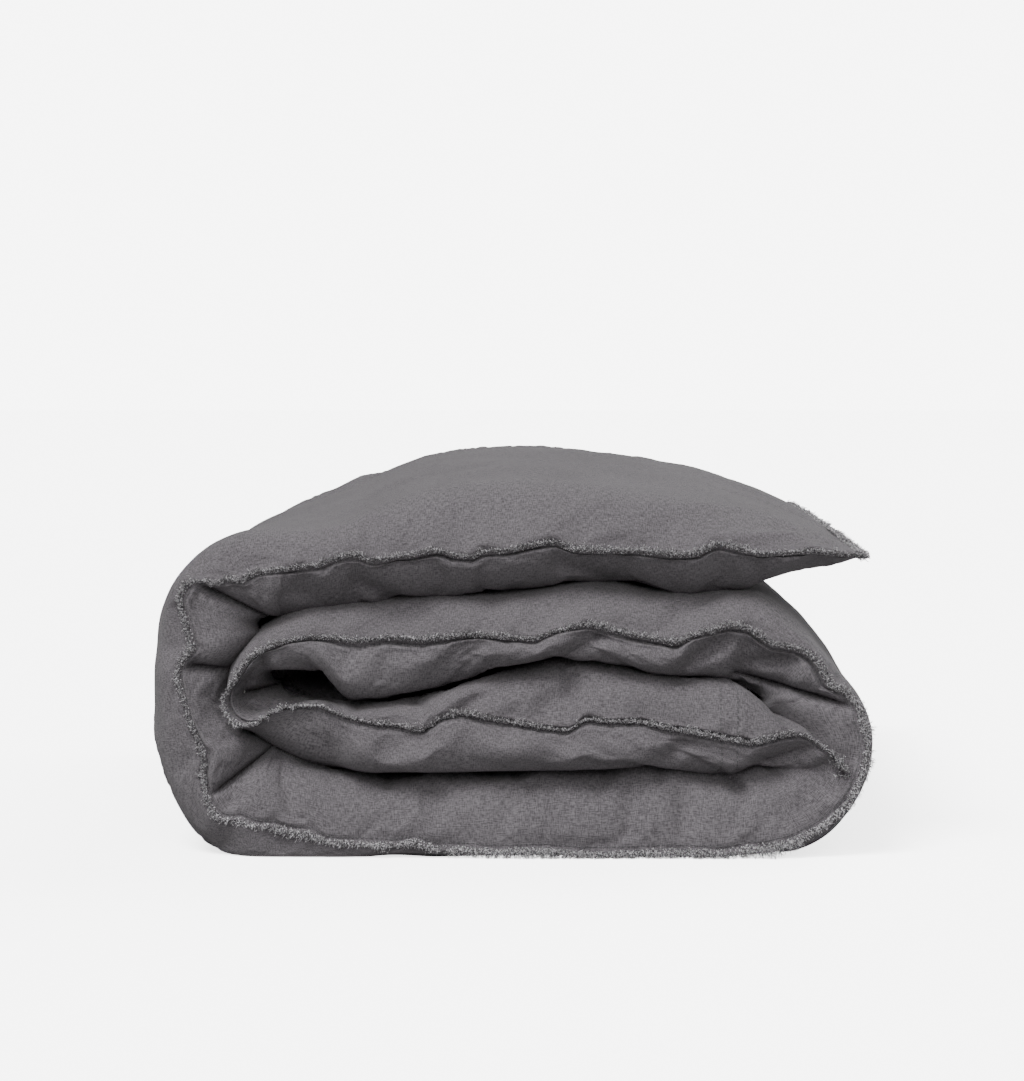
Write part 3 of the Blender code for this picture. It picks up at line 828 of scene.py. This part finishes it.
def insert_mesh(name, start, end, outer):
    """One thickness of the duvet's own quilted case, between two places along the roll, as a closed form."""
    columns = max(6, int((end - start) / 0.012))
    s = np.linspace(start, end, columns)
    angle = np.linspace(0, 2 * math.pi, 57)[:-1]
    power = lambda value, p: np.sign(value) * np.abs(value) ** p
    front, back = (0.034, SPAN - 0.030) if outer else (RECESS + 0.030, SPAN - 0.045)
    y = (front + back) / 2 + (back - front) / 2 * power(np.cos(angle), 0.35)
    s_grid, y_grid = np.meshgrid(s, y, indexing="ij")
    high, low = outer_height(s_grid, y_grid), inner_height(s_grid, y_grid)
    mid = (high + low) / 2
    face = high - 0.0085 if outer else low + 0.0085
    inside = mid + 0.003 if outer else mid - 0.003
    half = np.maximum(np.abs(face - inside) / 2, 0.0012)
    for lines in (s_grid / CHAMBER, (y_grid - 0.03) / CHAMBER):
        off = np.abs(lines - np.round(lines)) * CHAMBER
        half = half * (1 - 0.5 * np.exp(-((off / 0.013) ** 2)))
    h = (face + inside) / 2 + half * power(np.sin(angle), 0.6)[None, :]
    grid = place(s_grid, y_grid, h)
    around, last = len(angle), (columns - 1) * len(angle)
    caps = [list(range(around - 1, -1, -1)), list(range(last, last + around))]
    return smooth_mesh(name, grid, tube_quads(columns, around) + caps, flat=len(caps))


def build_insert():
    """The duvet inside the cover: two thicknesses, each in four pieces that follow the roll."""
    for part, (start, end) in PARTS.items():
        start, end = max(start + 0.0003, 0.026), min(end - 0.0003, LENGTH - 0.040)
        for side in ("outer", "inner"):
            name = f"duvet_{side}_{part}"
            mesh = insert_mesh(name, start, end, side == "outer")
            obj = add_piece(name, mesh, DOWN_PROOF, part)
            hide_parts(*[f"duvet_{side}_chamber_{n}" for n in CHAMBERS[part]])


def thread_mesh(name, base, direction, length, random, sag):
    """Loose threads, each a thin three-sided tube that curls and tapers towards its tip."""
    count, segments = len(base), 4
    direction = unit(direction)
    bend = random.uniform(-1, 1, (count, 3)) * 0.60
    twist = random.uniform(-1, 1, (count, 3)) * 0.42
    bend[:, 2] -= sag
    width = random.uniform(0.00024, 0.00044, count)
    across = unit(np.cross(direction, random.normal(0, 1, (count, 3))))
    third = np.cross(direction, across)
    rings = []
    for k in range(segments + 1):
        share = k / segments
        centre = base + (direction * share + bend * share**2 + twist * math.sin(2 * math.pi * share)) * length[:, None]
        size = (width * (1 - 0.5 * share))[:, None]
        ring = [centre + (across * math.cos(a) + third * math.sin(a)) * size for a in (0, 2.094, 4.189)]
        rings.append(np.stack(ring, axis=1))
    points = np.stack(rings, axis=1)
    points[..., 2] = np.maximum(points[..., 2], 0.0003)
    return smooth_mesh(name, points, tube_quads(segments + 1, 3, count))


def pick(values, at, where):
    """Rows of values at positions where, along an edge whose points lie at positions at."""
    return np.stack([np.interp(where, at, values[:, k]) for k in range(values.shape[1])], axis=1)


def front_fringe(name, part, start, end, grids):
    """The frayed edge along the front, which curls towards one face of the layer and is thicker in tufts."""
    random = np.random.RandomState(70 + int(start * 1000))  # another seed for each stretch
    grid, fine_s = grids["outer_panel"]
    edge, root, lining_root = grid[0], grid[2], grids["lining"][0][4, ::2]  # the lining's grid is twice as fine
    at = along_edge(edge)
    low, high = np.interp([start, end], fine_s, at)
    count = int((high - low) * THREADS_PER_METRE)
    u = np.sort(random.uniform(low, high, count))
    s = np.interp(u, at, fine_s)
    share = random.uniform(0.05, 1.0, count)[:, None]
    on_lining = (random.uniform(0, 1, count) < 0.4)[:, None]
    foot = np.where(on_lining, pick(lining_root, at, u), pick(root, at, u))
    base = foot * (1 - share) + pick(edge, at, u) * share
    outward, onward = directions(s)
    tuft = np.clip(noise(u, 0 * u, 0.045, 41) + 0.9 * noise(u, 0 * u, 0.005, 42), -0.9, 1.1)
    towards = lean(s) * (1.1 + 0.30 * noise(u, 0 * u, 0.03, 43)) + random.uniform(-0.30, 0.30, count)
    on_floor = window(s, STARTS["floor"] + 0.10, 0.05, STARTS["lower_right"], 0.03)
    on_wall = window(s, STARTS["lower_right"], 0.03, STARTS["upper_right"], 0.04)
    direction = np.array([0.0, -0.45, 0.0]) + outward * towards[:, None]
    direction[:, 1] -= 0.8 * on_floor
    direction += onward * (1.1 * noise(u, 0 * u, 0.0030, 45) + random.uniform(-0.5, 0.5, count))[:, None]
    tip = window(s, LENGTH - 0.007, 0.004)
    length = 0.0034 * (1 + 0.35 * tuft + 0.95 * on_floor + 0.35 * on_wall + 0.9 * tip)
    length = length * random.uniform(0.55, 1.0, count)
    mesh = thread_mesh(name, base, direction, length, random, sag=0.15)
    return add_piece(name, mesh, FRAYED_PAINTED_HIGHLIGHTS, part)


def end_fringe(name, part, s, way, seed):
    """The frayed edge across one end of the duvet, on both of its thicknesses."""
    random = np.random.RandomState(seed)
    # more would be thinned out in the STL file
    count = int(SPAN * THREADS_PER_METRE * 1.34)  # about a third denser than along the front
    y = random.uniform(0.0, SPAN - 0.004, count)
    at = s - way * random.uniform(0, 0.006, count) * random.uniform(0, 1, count)
    h = np.where(random.uniform(0, 1, count) < 0.7, outer_height(at, y), inner_height(at, y))
    base = place(at, y, h)
    outward, onward = directions(at)
    direction = onward * way + outward * random.uniform(-0.4, 0.7, count)[:, None]
    direction[:, 1] += 0.9 * noise(y, 0 * y, 0.004, seed + 1) + random.uniform(-0.5, 0.5, count)
    length = 0.0032 * (1 + 0.4 * noise(y, 0 * y, 0.02, seed)) * random.uniform(0.5, 1.1, count)
    mesh = thread_mesh(name, base, direction, length, random, sag=0.2)
    return add_piece(name, mesh, FRAYED_PAINTED_HIGHLIGHTS, part)


def inner_fringe(part):
    """The frayed edge of the inner thickness, out of sight behind the front."""
    start, end = PARTS[part]
    random = np.random.RandomState(60)
    count = int((end - start) * THREADS_PER_METRE * 0.25)
    s = random.uniform(start, end, count)
    y = np.full(count, RECESS)
    base = place(s, y, inner_height(s, y) * 0.5)
    direction = np.array([0.0, -1.0, 0.0]) + random.normal(0, 0.3, (count, 3))
    name = f"inner_fringe_{part}"
    mesh = thread_mesh(name, base, direction, random.uniform(0.002, 0.004, count), random, sag=0.1)
    return add_piece(name, mesh, THREAD, part)


STITCH_PITCH, STITCH_LENGTH, STITCH_RADIUS = 0.0032, 0.0023, 0.00032
STITCH_PROFILE = [(-0.5, 0.15), (-0.42, 0.7), (-0.2, 1.0), (0.2, 1.0), (0.42, 0.7), (0.5, 0.15)]  # (length, radius)
HEM_ROWS = 0.040, 0.047  # where the hem's two rows of stitches are, from the end of the roll


def stitch_mesh(name, path, normal, radius):
    """A row of short stitches along a path on the cloth, each a rounded six-sided bead of thread, a third sunk in."""
    at = along_edge(path)
    count = max(1, int(at[-1] / STITCH_PITCH))
    centre_at = (np.arange(count) + 0.5) * at[-1] / count
    out = unit(pick(normal, at, centre_at))
    begin, finish = (pick(path, at, centre_at + way * STITCH_LENGTH / 2) for way in (-1, 1))
    axis = unit(finish - begin)
    side = np.cross(axis, out)
    centre = (begin + finish) / 2 + out * radius * 0.7
    ring = [side * math.cos(k * math.pi / 3) + out * math.sin(k * math.pi / 3) for k in range(6)]
    beads = [(centre + axis * STITCH_LENGTH * share, radius * size) for share, size in STITCH_PROFILE]
    points = [middle_of + spoke * size for middle_of, size in beads for spoke in ring]
    return smooth_mesh(name, np.stack(points, axis=1), tube_quads(len(STITCH_PROFILE), 6, count))


def front_stitches(part, grids):
    """The line of stitches beside the frayed edge, on each sheet."""
    pieces = {}
    for sheet, (side, _, row) in SHEETS.items():
        grid, at = grids[sheet]
        normal = grid_normals(grid[: row + 5]) * side
        name = f"stitches_{sheet}_{part}"
        mesh = stitch_mesh(name, cut(grid, at, part)[row], cut(normal, at, part)[row], STITCH_RADIUS)
        pieces[sheet] = add_piece(name, mesh, THREAD, part)
    return pieces


def hem_stitches(grids):
    """Two rows of stitches across the roll on each sheet, where the button closure's hem ends."""
    pieces = {}
    for sheet, last in (("outer_panel", 240), ("lining", 60)):
        (side, _, row), (grid, at) = SHEETS[sheet], grids[sheet]
        pieces[sheet] = []
        for number, back in enumerate(HEM_ROWS, 1):
            column = int(np.searchsorted(at, LENGTH - back))
            normal = grid_normals(grid[row:last, column - 2 : column + 3])[:, 2] * side
            name = f"hem_stitches_{sheet}_{number}"
            mesh = stitch_mesh(name, grid[row:last, column], normal, 0.00034)
            pieces[sheet].append(add_piece(name, mesh, THREAD, "roll"))
    return pieces


# Stage


AMBIENT = 0.18  # light from all around
BACKDROP = 7.2  # what the camera sees behind the floor
FLOOR_SIZE = 24.0
FLOOR_SEEN, FLOOR_GLOW = 4.3, 2.45  # the floor's paleness to the camera, so that it shows nearly white
FLOOR_GREY = 0.34  # the floor's paleness to the light that bounces up from it


def show_camera(tree, output, seen, others):
    """Shows one shader to the camera and another to all other rays."""
    mix = tree.nodes.new("ShaderNodeMixShader")
    sources = tree.nodes.new("ShaderNodeLightPath").outputs["Is Camera Ray"], others.outputs[0], seen.outputs[0]
    for source, target in zip(sources, mix.inputs):
        tree.links.new(source, target)
    tree.links.new(mix.outputs[0], tree.nodes[output].inputs["Surface"])


def build_stage():
    corners = FLOOR_SIZE / 2 * np.array([(-1, -1, 0), (1, -1, 0), (1, 1, 0), (-1, 1, 0)])
    floor = add_object("floor", smooth_mesh("floor", corners, [(0, 1, 2, 3)], flat=1))
    nodes = Nodes("studio_floor")
    pale, grey = (nodes.add("BsdfDiffuse", Color=(tone, tone, tone, 1)) for tone in (FLOOR_SEEN, FLOOR_GREY))
    glow, paler = nodes.add("Emission", Strength=FLOOR_GLOW), nodes.add("AddShader")
    nodes.give(paler.inputs[0], pale.outputs[0])
    nodes.give(paler.inputs[1], glow.outputs[0])
    show_camera(nodes.tree, "Material Output", paler, grey)
    floor.data.materials.append(nodes.material)
    world = bpy.data.worlds.new("studio")
    bpy.context.scene.world = world
    world.use_nodes = True
    light, backdrop = world.node_tree.nodes["Background"], world.node_tree.nodes.new("ShaderNodeBackground")
    for node, strength in ((light, AMBIENT), (backdrop, BACKDROP)):
        node.inputs["Color"].default_value = (1, 1, 1, 1)
        node.inputs["Strength"].default_value = strength
    show_camera(world.node_tree, "World Output", backdrop, light)


def add_sun(name, towards, strength, spread):
    """A soft light from the direction towards, as wide as a softbox that covers spread degrees."""
    data = bpy.data.lights.new(name, "SUN")
    data.angle = math.radians(spread)
    data.energy = strength
    add_object(name, data).rotation_euler = Vector(towards).to_track_quat("Z", "Y").to_euler()


SENSOR = 36.0
CAMERA_DISTANCE, CAMERA_X, CAMERA_HEIGHT = 2.40, -0.003, 0.35  # the distance is from the front of the roll
SEEN_HEIGHT, AIM_HEIGHT = 0.7027, 0.2083  # in the plane of that front


def add_camera():
    """A camera like the photograph's: a little above the roll, and straight in front of it."""
    data = bpy.data.cameras.new("camera")
    data.sensor_width = data.sensor_height = SENSOR
    data.sensor_fit = "AUTO"
    data.lens = SENSOR * CAMERA_DISTANCE / SEEN_HEIGHT
    data.clip_end = 100
    camera = add_object("camera", data)
    camera.location = (CAMERA_X, FRONT - CAMERA_DISTANCE, CAMERA_HEIGHT)
    aim = Vector((CAMERA_X, FRONT, AIM_HEIGHT))
    camera.rotation_euler = (aim - camera.location).to_track_quat("-Z", "Y").to_euler()
    bpy.context.scene.camera = camera


def main():
    pieces, grids = build_cover()
    build_insert()
    fringes = {
        part: front_fringe(f"fringe_{part}", part, start, min(end, STARTS["upper"]), grids)
        for part, (start, end) in PARTS.items()
    }
    core = front_fringe("fringe_core", "roll", STARTS["upper"], LENGTH, grids)
    stitches = {part: front_stitches(part, grids) for part in PARTS}
    hems = hem_stitches(grids)
    head = end_fringe("fringe_head", "flap", 0.0, -1, 90)
    foot = end_fringe("fringe_foot", "roll", LENGTH, 1, 91)
    hidden = {part: inner_fringe(part) for part in PARTS}
    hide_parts("frayed_edge_head")
    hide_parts("frayed_edge_foot")
    for part, body, tops in (
        ("flap", "flap", ["flap"]), ("upper_corner", "side", ["side"]), ("roll", "base", ["floor", "roll"])
    ):
        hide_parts(f"frayed_edge_front_{body}")
        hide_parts(f"frayed_edge_inner_{body}")
        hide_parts(f"cover_bottom_panel_{body}")
        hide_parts(*[f"cover_top_panel_{top}" for top in tops])
    for (sheet, part), obj in pieces.items():
        on_it = [stitches[part][sheet]] + (hems[sheet] if part == "roll" else [])
        if sheet == "outer_panel":
            on_it += [fringes[part], hidden[part]] + {"flap": [head], "roll": [foot, core]}.get(part, [])
    dress_kept_nodes()
    build_stage()
    add_sun("key", (-0.40, -0.62, 1.0), strength=2.04, spread=26)
    add_sun("fill", (-0.05, -1.0, 0.50), strength=0.94, spread=36)
    add_sun("back", (0.75, 0.80, 0.55), strength=1.15, spread=60)
    add_camera()


main()
